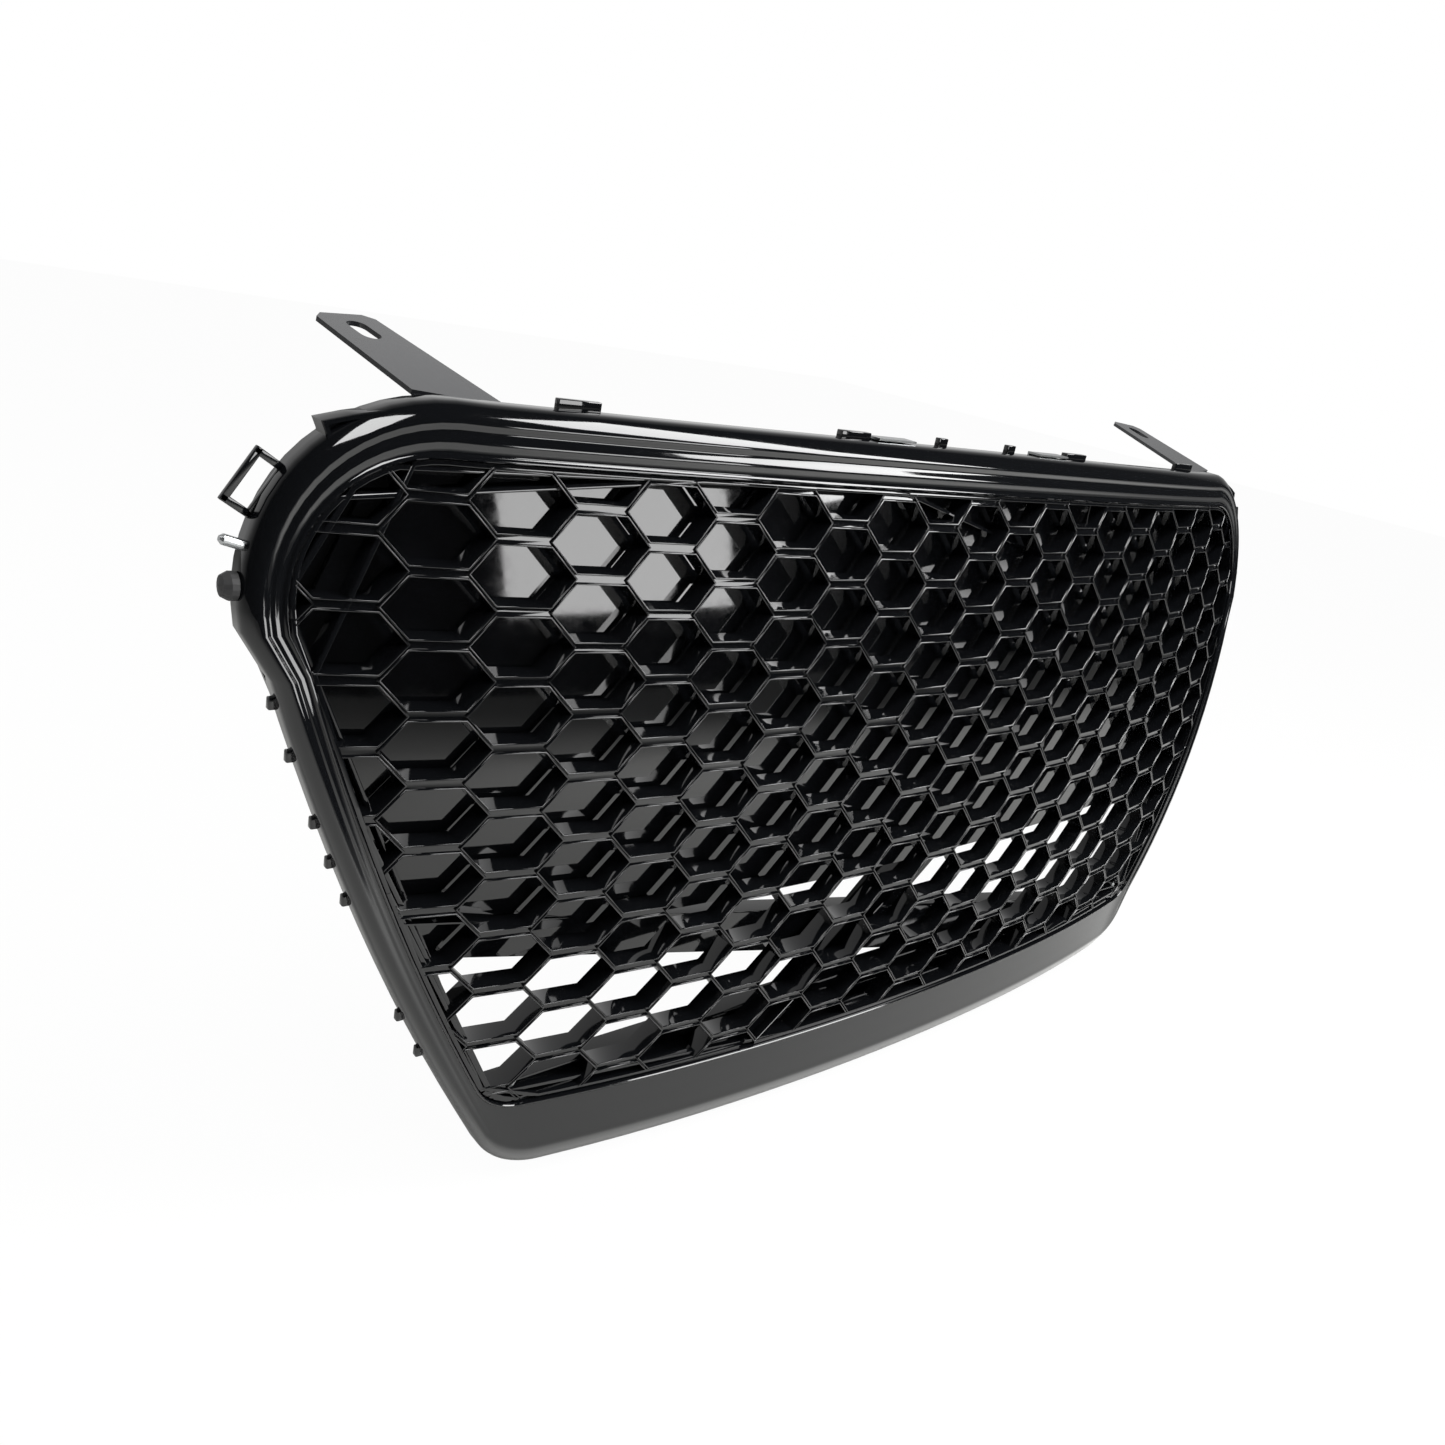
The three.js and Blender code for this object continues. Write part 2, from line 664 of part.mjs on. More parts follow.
// A screw drills the pieces that it passes through; its head stands behind the last of them.
function fasten(name, x, z, depth, length, through) {
  for (const piece of through) {
    pieces[piece] = pieces[piece]
      .subtract(solid(seat(bore(-length - 2, 4), x, z, depth)))
      .subtract(solid(seat(spotFace(), x, z, depth)));
  }
  add(name, seat(screw(length), x, z, depth), zincSteel);
}
frameScrewPlaces.forEach(([x, z], i) => {
  fasten("frame_screw_" + (i + 1), x, z, insertDepth, frameScrewLength, ["insert"]);
});
plateScrewPlaces.forEach(([x, z], i) => {
  fasten("plate_screw_" + (i + 1), x, z, plateBack, plateScrewLength, ["plate", "insert"]);
});
bracketScrewPlaces.forEach(([x, z], i) => {
  const held = x < 0 ? "leftBracket" : "rightBracket";
  fasten("bracket_screw_" + (i + 1), x, z, footBack, bracketScrewLength, [held, "insert"]);
});

// Corner screws go in from the front, through the insert's feet.
for (const [side, name] of [[-1, "left"], [1, "right"]]) {
  const x = side * cornerScrewX;
  const turned = (geometry) => seat(geometry.rotateX(Math.PI), x, cornerScrewZ, footFace);
  pieces.insert = pieces.insert
    .subtract(solid(turned(bore(-insertDepth, gap))))
    .subtract(solid(turned(rod(screwHeadRadius + 2 * gap, 0, 2 * footFace))));
  add(name + "_corner_screw", turned(screw(cornerScrewLength)), zincSteel);
}

// Spring clips grip the frame's top flange, and the insert's flange is notched round them.
for (const [side, name] of [[-1, "left"], [1, "right"]]) {
  const x = side * clipPlace;
  const z = topEdge - topDrop(x);
  const rear = face(x, z) + flangeDepth + 3 * gap;
  const low = -frameWall - 2 * gap - clipWall;
  const high = 2 * gap + clipWall;
  const legs = [
    [-clipLeg, 2 * gap],
    [-clipLeg, high],
    [clipWall, high],
    [clipWall, low],
    [-clipLeg / 2, low],
    [-clipLeg / 2, low + clipWall],
    [0, low + clipWall],
    [0, 2 * gap],
  ];
  const shape = new THREE.Shape(legs.map(([y, up]) => new THREE.Vector2(y, up)));
  const made = new THREE.ExtrudeGeometry(shape, { depth: clipWidth, bevelEnabled: false });
  made.applyMatrix4(new THREE.Matrix4().makeBasis(
    new THREE.Vector3(0, 1, 0),
    new THREE.Vector3(0, 0, 1),
    new THREE.Vector3(1, 0, 0),
  ));
  add(name + "_spring_clip", made.translate(x - clipWidth / 2, rear, z), zincSteel);
  const notch = new THREE.BoxGeometry(clipWidth + 4 * gap, 4 * insertDepth, 2 * notchHeight);
  pieces.insert = pieces.insert.subtract(solid(notch.translate(x, rear, z)));
}

// Locating pins and rubber stops stand in the side flanges.
function sideFitting(name, place, profile, stem, look) {
  for (const [side, hand] of [[-1, "left"], [1, "right"]]) {
    const [outX, outZ] = edgeNormal(place);
    const outward = new THREE.Vector3(side * outX, 0, outZ);
    const turn = new THREE.Quaternion().setFromUnitVectors(new THREE.Vector3(0, 1, 0), outward);
    const x = side * halfWidthAt(outer, place);
    const y = face(x, place) + fittingDepth;
    const settle = (geometry) => geometry.applyQuaternion(turn).translate(x, y, place);
    const hole = new THREE.CylinderGeometry(stem + gap, stem + gap, 4 * frameWall, 16);
    pieces.frame = pieces.frame.subtract(solid(settle(hole)));
    const points = profile.map(([r, out]) => new THREE.Vector2(r, out));
    add(hand + name, settle(new THREE.LatheGeometry(points, 16)), look);
  }
}
const inside = -frameWall - gap;
sideFitting("_locating_pin", pinPlace, [
  [0, inside - 1.2],
  [pinRadius + 0.6, inside - 1.2],
  [pinRadius + 0.6, inside],
  [pinRadius, inside],
  [pinRadius, pinReach - 1.5],
  [pinRadius - 1.2, pinReach],
  [0, pinReach],
], pinRadius, zincSteel);
sideFitting("_rubber_stop", stopPlace, [
  [0, inside - 1.2],
  [stopStem + 1, inside - 1.2],
  [stopStem + 1, inside],
  [stopStem, inside],
  [stopStem, 2 * gap],
  [stopRadius, 2 * gap],
  [stopRadius, stopReach * 0.5],
  [stopRadius * 0.75, stopReach * 0.88],
  [0, stopReach],
], stopStem, rubber);

add("frame", geometryOf(pieces.frame), glossBlack);
add("honeycomb_insert", geometryOf(pieces.insert), glossBlack);
add("blanking_plate", geometryOf(pieces.plate), glossBlack);
add("left_bracket", geometryOf(pieces.leftBracket), coatedSteel);
add("right_bracket", geometryOf(pieces.rightBracket), coatedSteel);

// The origin is the centre of the whole grille's box.
const box = new THREE.Box3().setFromObject(grille, true);
grille.position.copy(box.getCenter(new THREE.Vector3())).negate();
const part = new THREE.Group();
part.add(grille);

export default part;
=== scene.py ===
import math

import bmesh
import bpy
from mathutils import Matrix, Vector


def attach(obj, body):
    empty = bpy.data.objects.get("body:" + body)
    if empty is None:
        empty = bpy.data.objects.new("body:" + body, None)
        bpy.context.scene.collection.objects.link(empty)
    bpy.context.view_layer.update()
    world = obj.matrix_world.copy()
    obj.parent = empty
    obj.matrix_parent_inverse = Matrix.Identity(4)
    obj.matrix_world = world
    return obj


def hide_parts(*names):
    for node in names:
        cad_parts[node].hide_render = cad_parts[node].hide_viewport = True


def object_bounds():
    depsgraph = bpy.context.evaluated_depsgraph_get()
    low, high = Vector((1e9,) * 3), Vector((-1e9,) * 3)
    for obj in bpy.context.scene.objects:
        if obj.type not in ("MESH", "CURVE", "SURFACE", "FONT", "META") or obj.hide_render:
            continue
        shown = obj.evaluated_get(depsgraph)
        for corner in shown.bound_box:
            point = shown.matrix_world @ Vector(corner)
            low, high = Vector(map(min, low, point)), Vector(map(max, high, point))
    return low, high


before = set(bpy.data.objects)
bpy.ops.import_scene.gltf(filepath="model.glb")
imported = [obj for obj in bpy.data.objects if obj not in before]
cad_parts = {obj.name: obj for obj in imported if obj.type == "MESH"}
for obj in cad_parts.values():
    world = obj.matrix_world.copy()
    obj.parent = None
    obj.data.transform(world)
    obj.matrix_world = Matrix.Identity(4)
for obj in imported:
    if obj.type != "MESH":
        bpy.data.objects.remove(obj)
cad_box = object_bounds()

# ---- Frame moulding ----
# The rounded trapezoid bezel that shows round the mesh: one injection moulding in gloss black
# ABS, bowed in plan and raked back. Its section is swept round the outline as closed rings.
MM = 0.001
FACE_BACK = -84.731
FACE_UP = 8.503
TOP, BOTTOM, SIDE = 194.0, -230.0, 415.5
TOP_CROWN, BOTTOM_CROWN = 5.0, 8.0
SIDE_LEAN, SIDE_BOW = 0.345, 0.0006
TOP_CORNER, BOTTOM_CORNER = 95.0, 46.0


def face(x, z):
    u = x / 446.0
    return 0.118 * z + 34.8 * u ** 2 + 17.7 * u ** 4 + 19.6 * (z / 200.0) ** 2


def spot(x, z, depth):
    """The point that lies depth millimetres behind the bowed face at (x, z), in metres."""
    return Vector((x, face(x, z) + depth + FACE_BACK, z + FACE_UP)) * MM


def top_line(x, inset):
    return TOP - inset - TOP_CROWN * (x / SIDE) ** 2


def bottom_line(x, inset):
    return BOTTOM + inset + BOTTOM_CROWN * (x / SIDE) ** 2


def side_line(z, inset):
    return SIDE - inset + SIDE_LEAN * z - SIDE_BOW * z * z


def corner_arc(line, line_inset, side_inset, radius, up, turns):
    """Points of the rounded corner between a side and the top or bottom, side end first."""
    x, z = SIDE, line(SIDE, line_inset)
    for _ in range(20):
        x = side_line(z, side_inset)
        z = line(x, line_inset)
    tip = Vector((x, z))
    along = Vector((-1.0, line(x - 1.0, line_inset) - z)).normalized()
    down = Vector((side_line(z - up, side_inset) - x, -up)).normalized()
    half = math.acos(along.dot(down)) / 2
    centre = tip + (along + down).normalized() * (radius / math.sin(half))
    first = tip + down * (radius / math.tan(half)) - centre
    last = tip + along * (radius / math.tan(half)) - centre
    start, end = math.atan2(first.y, first.x), math.atan2(last.y, last.x)
    angles = [start + (end - start) * i / turns for i in range(turns + 1)]
    return [centre + Vector((math.cos(a), math.sin(a))) * radius for a in angles]


def outline(top, side, bottom, turns=16, side_steps=14, edge_steps=48):
    """The bezel's outline, anticlockwise from the front, moved in at each member."""
    upper = corner_arc(top_line, top, side, max(8.0, TOP_CORNER - top), 1, turns)
    lower = corner_arc(bottom_line, bottom, side, max(8.0, BOTTOM_CORNER - side), -1, turns)
    right = lower[::-1]
    low, high = right[-1].y, upper[0].y
    for i in range(1, side_steps):
        z = low + (high - low) * i / side_steps
        right.append(Vector((side_line(z, side), z)))
    right += upper
    left = [Vector((-p.x, p.y)) for p in reversed(right)]
    across = []
    for line, inset, x in ((top_line, top, right[-1].x), (bottom_line, bottom, -right[0].x)):
        steps = [x - 2 * x * i / edge_steps for i in range(1, edge_steps)]
        across.append([Vector((s, line(s, inset))) for s in steps])
    return right + across[0] + left + across[1]


def blend_depths(point, top, side, bottom):
    """A ring's depth at an outline point: the side's, eased into the top's or bottom's."""
    upper = min(max((point.y - (TOP - TOP_CORNER)) / (TOP_CORNER - TOP_CROWN), 0), 1)
    lower = min(max(((BOTTOM + BOTTOM_CORNER) - point.y) / (BOTTOM_CORNER - BOTTOM_CROWN), 0), 1)
    upper, lower = upper * upper * (3 - 2 * upper), lower * lower * (3 - 2 * lower)
    return side + (top - side) * upper + (bottom - side) * lower


def sweep(bm, section):
    """Sweeps a closed section, rows of insets and depths at each member, round the outline."""
    station = bm.verts.layers.int.get("station") or bm.verts.layers.int.new("station")
    base = outline(0, 0, 0)
    rings = []
    for top, side, bottom, top_depth, side_depth, bottom_depth in section:
        flat = outline(top, side, bottom)
        depths = [blend_depths(p, top_depth, side_depth, bottom_depth) for p in base]
        rings.append([spot(p.x, p.y, d) for p, d in zip(flat, depths)])
    ring = bmesh.ops.create_circle(bm, segments=len(base), radius=1)["verts"]
    for k, vert in enumerate(ring):
        vert[station] = k
        vert.co = rings[0][k]
    edges = list({e for v in ring for e in v.link_edges})
    swept = list(ring)
    for points in rings[1:] + rings[:1]:
        grown = bmesh.ops.extrude_edge_only(bm, edges=edges)["geom"]
        edges = [g for g in grown if isinstance(g, bmesh.types.BMEdge)]
        for vert in (g for g in grown if isinstance(g, bmesh.types.BMVert)):
            vert.co = points[vert[station]]
            swept.append(vert)
    bmesh.ops.remove_doubles(bm, verts=swept, dist=0.001 * MM)


def linear(code):
    """An sRGB hex colour as the linear values that the shaders take."""
    parts = [int(code[i:i + 2], 16) / 255 for i in (1, 3, 5)]
    return tuple(c / 12.92 if c <= 0.04045 else ((c + 0.055) / 1.055) ** 2.4 for c in parts) + (1,)


def add_node(tree, kind, values=None, links=None, **settings):
    """One node with its settings, its socket values and its incoming links."""
    made = tree.nodes.new(kind)
    for name, value in settings.items():
        setattr(made, name, value)
    for socket, value in (values or {}).items():
        made.inputs[socket].default_value = value
    for socket, source in (links or {}).items():
        tree.links.new(source, made.inputs[socket])
    return made


def blank_material(name):
    made = bpy.data.materials.new(name)
    made.use_nodes = True
    made.node_tree.nodes.clear()
    return made, made.node_tree


# Gloss black ABS, moulded in colour: deep black with a hard clear reflection, a slow waviness
# from the tool's polish some 30 mm long, and a faint haze of handling marks.
gloss_abs, tree = blank_material("gloss_black_abs_moulded")
place = add_node(tree, "ShaderNodeTexCoord")
wave = add_node(tree, "ShaderNodeTexNoise", {"Scale": 34.0, "Detail": 1.0},
                {"Vector": place.outputs["Object"]})
haze = add_node(tree, "ShaderNodeTexNoise", {"Scale": 160.0, "Detail": 5.0, "Roughness": 0.6},
                {"Vector": place.outputs["Object"]})
shine = add_node(tree, "ShaderNodeMapRange",
                 {"From Min": 0.35, "From Max": 0.75, "To Min": 0.035, "To Max": 0.085},
                 {"Value": haze.outputs["Fac"]})
ripple = add_node(tree, "ShaderNodeBump", {"Strength": 0.25, "Distance": 0.00012},
                  {"Height": wave.outputs["Fac"]})
body = add_node(tree, "ShaderNodeBsdfPrincipled", {"Base Color": linear("#0b0c0e"), "IOR": 1.53},
                {"Roughness": shine.outputs["Result"], "Normal": ripple.outputs["Normal"]})
add_node(tree, "ShaderNodeOutputMaterial", None, {"Surface": body.outputs["BSDF"]})


def finish_piece(name, bm, material, stands_for, sharp=32):
    """Turns a bmesh into a piece that rides on the root body and stands for CAD nodes."""
    mesh = bpy.data.meshes.new(name)
    bm.to_mesh(mesh)
    bm.free()
    mesh.shade_smooth()
    mesh.set_sharp_from_angle(angle=math.radians(sharp))
    mesh.materials.append(material)
    piece = bpy.data.objects.new(name, mesh)
    bpy.context.scene.collection.objects.link(piece)
    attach(piece, "root")
    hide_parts(*stands_for)
    return piece


def block(bm, size, move, round_off=0.5, turn=None):
    """A box of size millimetres with rounded edges, turned and moved to its place."""
    made = bmesh.ops.create_cube(bm, size=1.0)["verts"]
    bmesh.ops.scale(bm, vec=Vector(size) * MM, verts=made)
    edges = list({e for v in made for e in v.link_edges})
    made = set(made) | set(bmesh.ops.bevel(
        bm, geom=edges, offset=round_off * MM, offset_type="OFFSET", segments=2,
        profile=0.5, affect="EDGES", material=-1)["verts"])
    made = [v for v in made if v.is_valid]
    if turn:
        bmesh.ops.rotate(bm, cent=(0, 0, 0), matrix=turn, verts=made)
    bmesh.ops.translate(bm, vec=move, verts=made)


# Rows of the section: inset at top, side and bottom, then depth at top, side and bottom.
bezel_section = [
    (0, 0, 0, 12, 12, 12), (0, 0, 0, 7, 6, 7), (0.1, 0.1, 0.2, 2.5, 3.2, 3.6),
    (0.7, 0.6, 0.9, 0.9, 1.4, 1.8), (1.7, 1.4, 2.2, -0.4, 0.0, 0.3),
    (3.0, 2.4, 4.0, -1.5, -1.3, -1.2), (4.6, 3.6, 7.0, -2.6, -2.4, -2.9),
    (6.4, 4.9, 12.0, -3.5, -3.0, -4.7), (7.4, 5.8, 15.6, -3.9, -3.25, -5.75),
    (8.3, 6.8, 17.2, -4.0, -3.2, -6.1), (9.3, 7.8, 18.4, -3.7, -2.8, -6.2),
    (10.6, 8.8, 19.6, -2.9, -2.1, -5.9), (11.6, 9.6, 21.5, -2.2, -1.6, -5.5),
    (12.6, 10.1, 25.0, -2.0, -1.5, -4.9), (14.0, 10.6, 29.0, -2.3, -1.6, -4.2),
    (15.4, 11.1, 33.0, -2.9, -1.65, -3.5), (16.6, 11.7, 37.0, -3.1, -1.4, -2.8),
    (17.7, 12.3, 41.0, -2.8, -1.1, -2.2), (19.2, 13.0, 44.4, -2.0, -0.95, -1.6),
    (21.4, 13.8, 46.2, -1.2, -0.8, -1.3), (22.3, 14.2, 46.9, -1.1, -0.9, -1.2),
    (22.8, 14.5, 47.3, -1.5, -1.3, -1.6), (23.6, 15.0, 47.9, -1.75, -1.5, -1.85),
    (24.4, 15.5, 48.5, -1.6, -1.35, -1.7), (24.9, 15.9, 48.9, -1.1, -0.9, -1.2),
    (25.0, 16.0, 49.0, 0.4, 0.4, 0.4), (25.0, 16.0, 49.0, 10, 10, 10),
    (23.0, 14.0, 47.0, 10, 10, 10), (22.6, 13.6, 46.4, 2.4, 2.6, 2.4),
    (16.5, 11.0, 34.0, 1.2, 1.9, 0.2), (8.5, 7.0, 18.0, 0.2, 0.6, -2.6),
    (2.8, 2.8, 5.8, 3.4, 3.4, 1.4), (2.8, 2.8, 2.8, 12, 12, 12),
]
bm = bmesh.new()
sweep(bm, bezel_section)
bmesh.ops.recalc_face_normals(bm, faces=bm.faces)

# Tabs, wedges and nubs along the top flange and snap nubs down the sides, moulded with the
# bezel, and the flat eye that stands out behind each upper corner.
for side in (-1, 1):
    for x, width, deep, high in ((291, 25, 4, 5), (112, 24, 5, 4), (35, 8, 4, 5)):
        z = top_line(x, 0) + high / 2 - 1.0
        block(bm, (width, deep, high + 2), spot(side * x, z, 11.5 - deep / 2))
    for drop in (142, 166, 198, 218, 238, 306, 330):
        z = TOP - drop
        block(bm, (4.4, 4, 6), spot(side * (side_line(z, 0) + 0.8), z, 9.3), 0.8)
    out_x, out_z = 0.8399, 0.5427
    turn = Matrix.Rotation(-side * math.atan2(out_z, out_x), 3, "Y")
    eye = spot(433.84, 143.0, 8.7)
    eye.x *= side
    for out, up, wide, high in ((-0.65, 0, 3.5, 28), (12.25, 0, 3.5, 28),
                                (5.8, 12.25, 16.4, 3.5), (5.8, -12.25, 16.4, 3.5)):
        shift = Vector((side * (out_x * out - out_z * up), 0, out_z * out + out_x * up)) * MM
        block(bm, (wide, 2.8, high), eye + shift, 0.6, turn)
    # The lug beside it closes the end of the top ledge; its front is dished inside a thin wall.
    lug = ((374, 176), (374, 185), (387.5, 182.7), (401, 179.4), (413.5, 175.5), (412.0, 171),
           (411.5, 166), (412.8, 160.5), (416, 155.5), (404, 158), (390, 166))
    made = bmesh.ops.create_circle(bm, segments=len(lug), radius=1, cap_ends=True)["verts"]
    cap = made[0].link_faces[0]
    for vert, (x, z) in zip(cap.verts, lug):
        vert.co = spot(side * x, z, 10.5)
    grown = bmesh.ops.extrude_discrete_faces(bm, faces=[cap])["faces"][0]
    for vert, (x, z) in zip(grown.verts, lug):
        vert.co = spot(side * x, z, 0.2)
    for wall, depth in ((0.5, -0.4), (1.9, 0.0), (0.5, 3.2)):
        bmesh.ops.inset_individual(bm, faces=[grown], thickness=wall * MM, use_even_offset=True)
        centre = grown.calc_center_median()
        for vert in grown.verts:
            x, z = vert.co.x / MM, vert.co.z / MM - FACE_UP
            vert.co = spot(x, z, depth)
bmesh.ops.recalc_face_normals(bm, faces=bm.faces)
finish_piece("bezel", bm, gloss_abs, ["frame"])

# ---- Honeycomb insert ----
# The mesh is one moulding of six sided cells. Each opening has a fine raised lip; a groove runs
# between the lips of neighbouring cells, wide along the level ribs and a hairline on the slants.
PITCH, COLUMN, FLAT = 33.0, 40.5, 12.7
PEAK = COLUMN - FLAT
SLANT = math.hypot(1.0, (PEAK - FLAT) / (PITCH / 2))
MESH_BACK = 14.0
# Rows: how far in from the cell's border at the level ribs and at the slants, and the depth.
cell_rings = [
    (1.75, 0.10, 2.0), (1.84, 0.20, 1.1), (1.92, 0.38, 0.62), (2.1, 0.56, 0.44),
    (2.35, 0.80, 0.40), (2.58, 1.03, 0.47), (2.74, 1.18, 0.7), (2.8, 1.25, 1.15),
    (2.8, 1.25, MESH_BACK), (0.0, 0.0, MESH_BACK),
]


def cell_corner(x, z, k, level, slanted):
    """Corner k of a cell's ring that is moved in by level and slanted millimetres."""
    reach = SLANT * slanted
    flat = FLAT + level * (PEAK - FLAT) / (PITCH / 2) - reach
    half = PITCH / 2 - level
    corners = ((flat, half), (-flat, half), (reach - PEAK, 0), (-flat, -half), (flat, -half),
               (PEAK - reach, 0))
    return Vector((x + corners[k][0], z + corners[k][1]))


bm = bmesh.new()
bm.verts.layers.int.new("station")
for column in range(-11, 12):
    for row in range(-1, 13):
        x = column * COLUMN
        z = 148.5 - row * PITCH + (column % 2) * PITCH / 2
        if abs(x) - PEAK > side_line(z, 0) or z - PITCH > TOP or z + PITCH < BOTTOM:
            continue
        tile = bmesh.ops.create_circle(bm, segments=6, radius=1, cap_ends=True)["verts"]
        cell = tile[0].link_faces[0]
        for k, vert in enumerate(cell.verts):
            at = cell_corner(x, z, k, 0, 0)
            vert.co = (at.x, 2.0, at.y)
        for level, slanted, depth in cell_rings:
            bmesh.ops.inset_individual(bm, faces=[cell], thickness=0.001, use_even_offset=False)
            for k, vert in enumerate(cell.verts):
                at = cell_corner(x, z, k, level, slanted)
                vert.co = (at.x, depth, at.y)
        bmesh.ops.delete(bm, geom=[cell], context="FACES_ONLY")
bmesh.ops.remove_doubles(bm, verts=bm.verts, dist=0.01)
# The lattice is trimmed to the window a little way under the rim.
window = outline(25.4 + 1.6, 16.4 + 1.6, 49.4 + 1.6, 8, 6, 12)
for k, start in enumerate(window):
    end = window[(k + 1) % len(window)]
    out = Vector((end.y - start.y, 0, start.x - end.x))
    if out.length < 0.5:
        continue
    bmesh.ops.bisect_plane(bm, geom=bm.verts[:] + bm.edges[:] + bm.faces[:], dist=0.0001,
                           plane_co=(start.x, 0, start.y), plane_no=out.normalized(),
                           clear_outer=True)
bmesh.ops.recalc_face_normals(bm, faces=bm.faces)
for vert in bm.verts:
    vert.co = spot(vert.co.x, vert.co.z, vert.co.y)
rim = (0.4, 3.0)
mesh_rim = [
    (25 + rim[0], 16 + rim[0], 49 + rim[0], 1.0, 1.0, 1.0),
    (25.6, 16.6, 49.6, 0.6, 0.6, 0.6), (27.4, 18.4, 51.4, 0.5, 0.5, 0.5),
    (27.9, 18.9, 51.9, 0.7, 0.7, 0.7), (28.0, 19.0, 52.0, 1.2, 1.2, 1.2),
    (28.0, 19.0, 52.0, 14, 14, 14), (3.2, 3.2, 3.2, 14, 14, 14), (3.2, 3.2, 3.2, 11, 11, 11),
    (25.4, 16.4, 49.4, 11, 11, 11),
]
sweep(bm, mesh_rim)
finish_piece("honeycomb", bm, gloss_abs, ["honeycomb_insert"], 50)

# ---- Blanking plate ----
# A thin moulded sheet that closes the upper rows from behind. It follows the bow of the face,
# and its polished front gives back the lamps through the cells.
PLATE_LOW, PLATE_HIGH, PLATE_FRONT, PLATE_WALL = -77.0, 171.0, 15.0, 2.5
plate_outline = outline(18, 13, 0)


def plate_half(z):
    for a, b in zip(plate_outline, plate_outline[1:]):
        if a.x > 0 and b.x > 0 and a.y <= z <= b.y and b.y > a.y:
            return a.x + (b.x - a.x) * (z - a.y) / (b.y - a.y)
    return plate_outline[len(plate_outline) // 4].x


bm = bmesh.new()
sheet = bmesh.ops.create_grid(bm, x_segments=110, y_segments=56, size=1)["verts"]
for vert in sheet:
    z = PLATE_LOW + (PLATE_HIGH - PLATE_LOW) * math.sin((vert.co.y + 1) / 2 * math.pi / 2)
    vert.co = spot(vert.co.x * plate_half(z), z, PLATE_FRONT)
bmesh.ops.recalc_face_normals(bm, faces=bm.faces)
bmesh.ops.solidify(bm, geom=bm.faces[:], thickness=PLATE_WALL * MM)
behind = min(v.co.y for v in bm.verts) < spot(0, 0, PLATE_FRONT).y - 0.002
if behind:
    bmesh.ops.translate(bm, vec=(0, PLATE_WALL * MM, 0), verts=bm.verts)
bmesh.ops.recalc_face_normals(bm, faces=bm.faces)
finish_piece("back_plate", bm, gloss_abs, ["blanking_plate"], 50)

# ---- Steel pieces ----
# The two brackets are stamped from sheet and coated black; screws, clips and pins are zinc
# plated; the stops are moulded rubber. They keep their CAD shapes and take their finish here.
coated, tree = blank_material("black_coated_steel_stamped")
place = add_node(tree, "ShaderNodeTexCoord")
peel = add_node(tree, "ShaderNodeTexNoise", {"Scale": 420.0, "Detail": 2.0},
                {"Vector": place.outputs["Object"]})
bumps = add_node(tree, "ShaderNodeBump", {"Strength": 0.2, "Distance": 0.00005},
                 {"Height": peel.outputs["Fac"]})
shine = add_node(tree, "ShaderNodeMapRange", {"To Min": 0.14, "To Max": 0.26},
                 {"Value": peel.outputs["Fac"]})
body = add_node(tree, "ShaderNodeBsdfPrincipled", {"Base Color": linear("#232427"), "IOR": 1.5},
                {"Roughness": shine.outputs["Result"], "Normal": bumps.outputs["Normal"]})
add_node(tree, "ShaderNodeOutputMaterial", None, {"Surface": body.outputs["BSDF"]})

zinc, tree = blank_material("zinc_plated_steel")
place = add_node(tree, "ShaderNodeTexCoord")
mottle = add_node(tree, "ShaderNodeTexNoise", {"Scale": 600.0, "Detail": 3.0},
                  {"Vector": place.outputs["Object"]})
shine = add_node(tree, "ShaderNodeMapRange", {"To Min": 0.22, "To Max": 0.42},
                 {"Value": mottle.outputs["Fac"]})
body = add_node(tree, "ShaderNodeBsdfPrincipled",
                {"Base Color": linear("#a9abac"), "Metallic": 1.0},
                {"Roughness": shine.outputs["Result"]})
add_node(tree, "ShaderNodeOutputMaterial", None, {"Surface": body.outputs["BSDF"]})

rubber, tree = blank_material("black_rubber_moulded")
place = add_node(tree, "ShaderNodeTexCoord")
grain = add_node(tree, "ShaderNodeTexNoise", {"Scale": 900.0, "Detail": 2.0},
                 {"Vector": place.outputs["Object"]})
bumps = add_node(tree, "ShaderNodeBump", {"Strength": 0.4, "Distance": 0.0001},
                 {"Height": grain.outputs["Fac"]})
body = add_node(tree, "ShaderNodeBsdfPrincipled",
                {"Base Color": linear("#1e1e1f"), "Roughness": 0.62, "IOR": 1.52},
                {"Normal": bumps.outputs["Normal"]})
add_node(tree, "ShaderNodeOutputMaterial", None, {"Surface": body.outputs["BSDF"]})

for name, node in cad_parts.items():
    finish = zinc
    if "bracket" in name and "screw" not in name:
        finish = coated
    if "rubber" in name:
        finish = rubber
    node.data.materials.clear()
    node.data.materials.append(finish)

# ---- Studio ----
# A pale floor under the grille and a white surround behind it; the room in front is dark but
# for one tall softbox high on the right and a small one that the plate mirrors.
floor_mesh = bpy.data.meshes.new("floor")
bm = bmesh.new()
bmesh.ops.create_grid(bm, x_segments=1, y_segments=1, size=6.0)
bmesh.ops.translate(bm, vec=(0, 0, Vector(cad_box[0]).z - 0.001), verts=bm.verts)
bm.to_mesh(floor_mesh)
bm.free()
floor = bpy.data.objects.new("floor", floor_mesh)
bpy.context.scene.collection.objects.link(floor)
paper, tree = blank_material("white_paper_floor")
rays = add_node(tree, "ShaderNodeLightPath")
lit = add_node(tree, "ShaderNodeBsdfDiffuse", {"Color": linear("#ececea")})
glow = add_node(tree, "ShaderNodeEmission", {"Color": (1, 1, 1, 1), "Strength": 1.0})
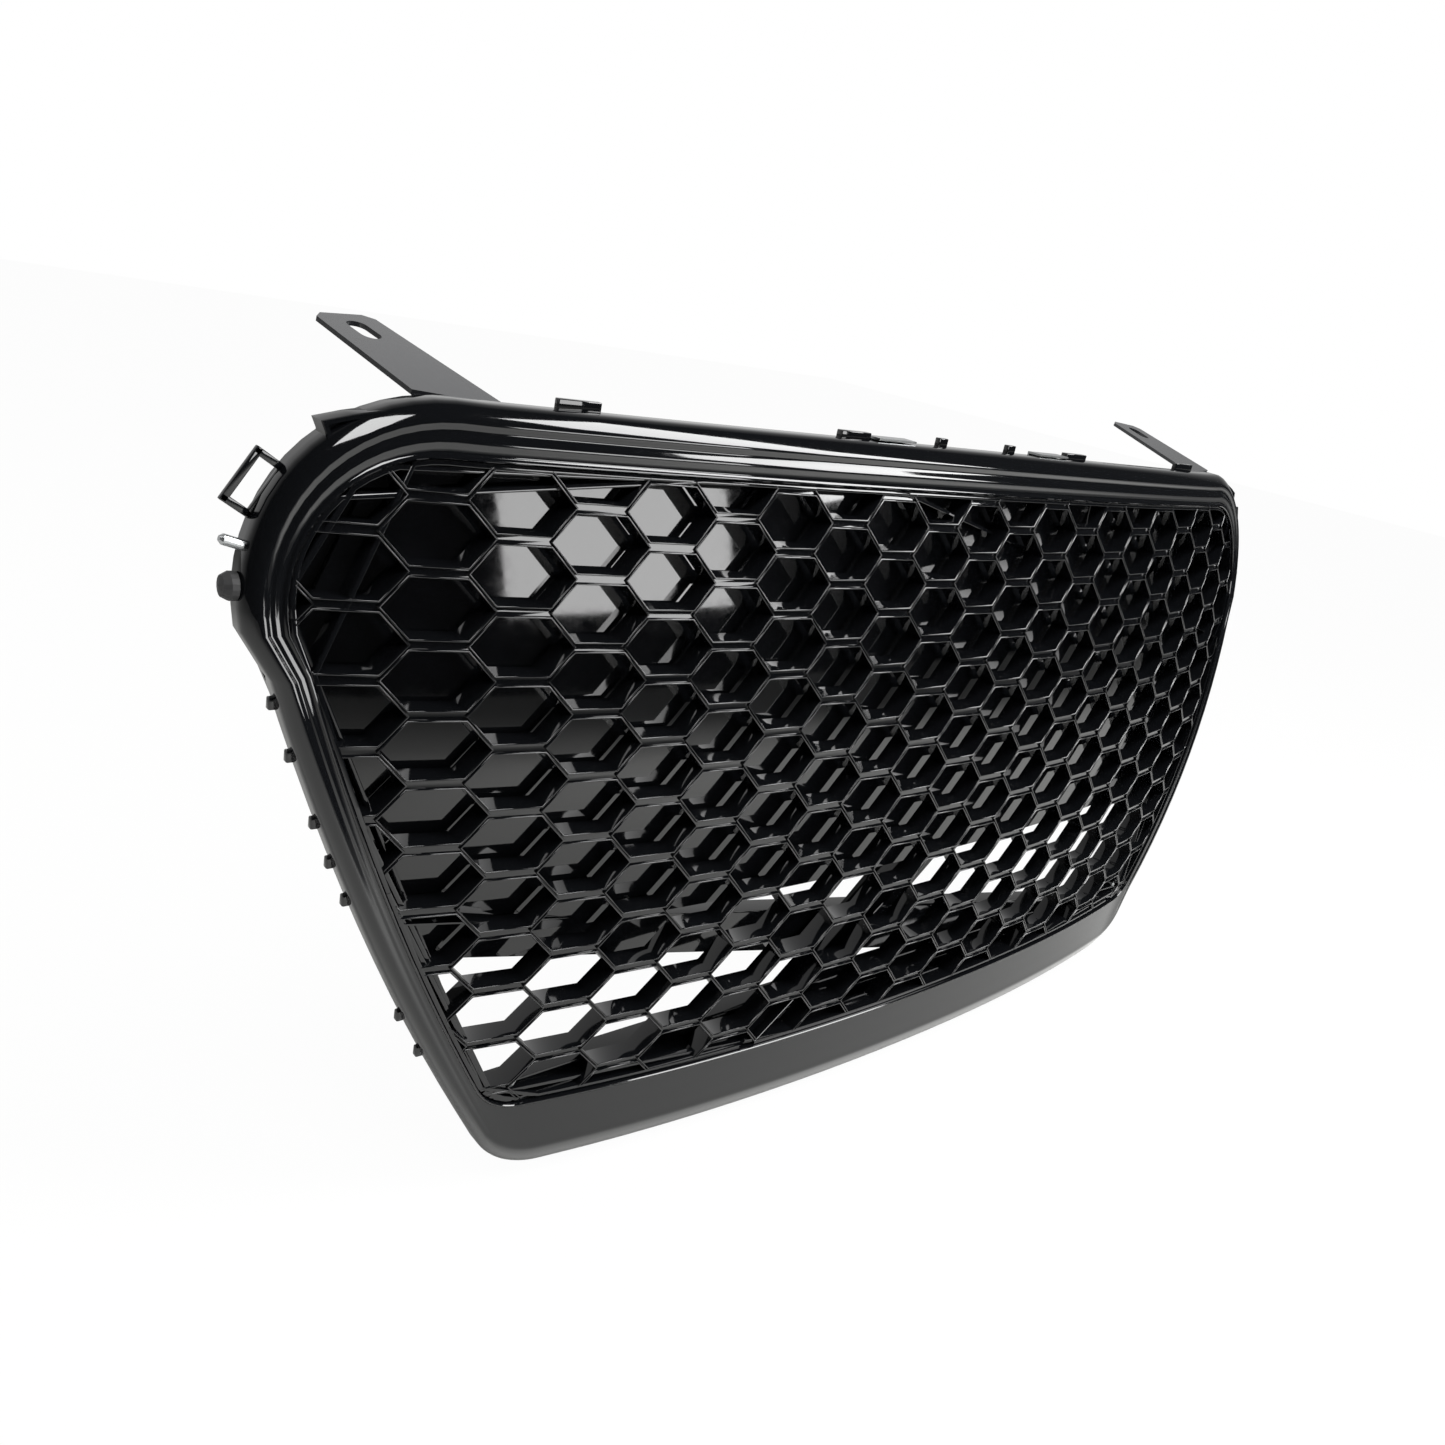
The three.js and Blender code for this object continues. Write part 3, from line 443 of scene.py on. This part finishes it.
share = add_node(tree, "ShaderNodeMath", {1: 0.97}, {0: rays.outputs["Is Camera Ray"]},
                 operation="MULTIPLY")
both = add_node(tree, "ShaderNodeMixShader", None,
                {0: share.outputs[0], 1: lit.outputs[0], 2: glow.outputs[0]})
add_node(tree, "ShaderNodeOutputMaterial", None, {"Surface": both.outputs[0]})
floor_mesh.materials.append(paper)

world = bpy.data.worlds.new("studio")
bpy.context.scene.world = world
world.use_nodes = True
tree = world.node_tree
tree.nodes.clear()
place = add_node(tree, "ShaderNodeTexCoord")
axes = add_node(tree, "ShaderNodeSeparateXYZ", None, {"Vector": place.outputs["Generated"]})
behind = add_node(tree, "ShaderNodeMapRange",
                  {"From Min": 0.05, "From Max": 0.75, "To Min": 0.02, "To Max": 0.9},
                  {"Value": axes.outputs["Y"]})
rays = add_node(tree, "ShaderNodeLightPath")
room = add_node(tree, "ShaderNodeBackground", {"Color": (1, 1, 1, 1)},
                {"Strength": behind.outputs["Result"]})
white = add_node(tree, "ShaderNodeBackground", {"Color": (1, 1, 1, 1), "Strength": 1.0})
seen = add_node(tree, "ShaderNodeMixShader", None,
                {0: rays.outputs["Is Camera Ray"], 1: room.outputs[0], 2: white.outputs[0]})
add_node(tree, "ShaderNodeOutputWorld", None, {"Surface": seen.outputs[0]})


def softbox(name, aim, toward, distance, width, height, watts):
    """A rectangular lamp that stands in the direction toward from aim and faces it."""
    data = bpy.data.lights.new(name, "AREA")
    data.shape = "RECTANGLE"
    data.size, data.size_y, data.energy = width, height, watts
    lamp = bpy.data.objects.new(name, data)
    way = Vector(toward).normalized()
    lamp.location = Vector(aim) + way * distance
    lamp.rotation_euler = way.to_track_quat("Z", "Y").to_euler()
    bpy.context.scene.collection.objects.link(lamp)


softbox("tall_softbox", (-0.2, -0.05, 0.1), (0.58, -0.47, 0.66), 1.9, 0.6, 1.9, 55)
softbox("left_softbox", (-0.2, -0.05, 0.1), (-0.33, -0.32, 0.89), 1.8, 0.6, 0.6, 16)
softbox("window_softbox", (-0.27, -0.03, 0.13), (0.37, -0.90, 0.2), 1.6, 0.72, 0.42, 8.5)

# ---- Camera ----
# It looks from the left front, from above the middle, and is rolled so the grille runs down.
yaw, pitch, roll = 0.76433, 0.34596, -0.19739
forward = Vector((math.sin(yaw) * math.cos(pitch), math.cos(yaw) * math.cos(pitch),
                  -math.sin(pitch)))
level_right = Vector((math.cos(yaw), -math.sin(yaw), 0))
level_down = forward.cross(level_right)
right = level_right * math.cos(roll) + level_down * math.sin(roll)
down = level_down * math.cos(roll) - level_right * math.sin(roll)
lens = bpy.data.cameras.new("camera")
lens.sensor_width = 36.0
lens.lens = 29.61
lens.clip_start = 0.01
camera = bpy.data.objects.new("camera", lens)
turn = Matrix((right, -down, -forward)).transposed().to_4x4()
camera.matrix_world = Matrix.Translation((-0.6267, -0.50873, 0.2689)) @ turn
bpy.context.scene.collection.objects.link(camera)
bpy.context.scene.camera = camera
bpy.context.scene.view_settings.view_transform = "Standard"
